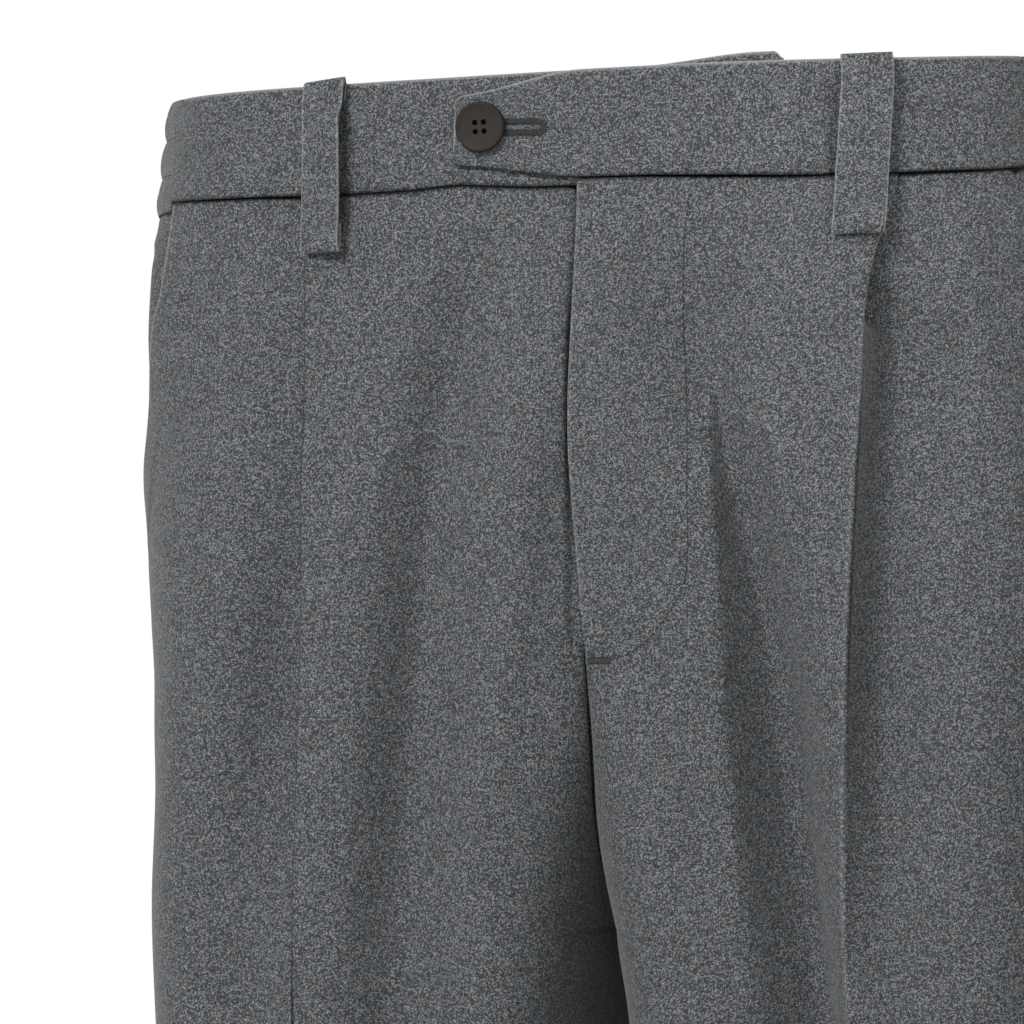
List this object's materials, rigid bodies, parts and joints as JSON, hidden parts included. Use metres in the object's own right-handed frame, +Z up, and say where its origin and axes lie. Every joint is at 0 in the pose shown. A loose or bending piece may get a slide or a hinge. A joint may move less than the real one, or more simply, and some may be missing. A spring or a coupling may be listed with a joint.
{
  "type": "pleated dress trousers",
  "caption": "Pleated dress trousers in their worn hollow form: pressed creases, slanted pockets, buttoned tab waistband, elastic sides and back, belt loops.",
  "frame": {"origin": "middle of the waist, level with the waistband's top edge at the centre front, where the wearer's waist holds the trousers up", "axes": "+Z up, the front faces -Y, the wearer's left is +X"},
  "size_m": [0.3347, 0.2606, 0.9912],
  "materials": {
    "cloth": "melange grey worsted, twill weave, matte",
    "band_cloth": "the same cloth, interfaced",
    "button": "dark brown polyester, matte"
  },
  "bodies": {
    "root": {"front_left": "cloth", "front_right": "cloth", "back_left": "cloth", "back_right": "cloth", "pocket_facing_left": "cloth", "pocket_facing_right": "cloth", "waistband_left": "band_cloth", "waistband_right": "band_cloth", "waistband_back": "band_cloth", "belt_loop_front_left": "band_cloth", "belt_loop_front_right": "band_cloth", "belt_loop_side_left": "band_cloth", "belt_loop_side_right": "band_cloth", "belt_loop_centre_back": "band_cloth", "button": "button"}
  },
  "joints": []
}
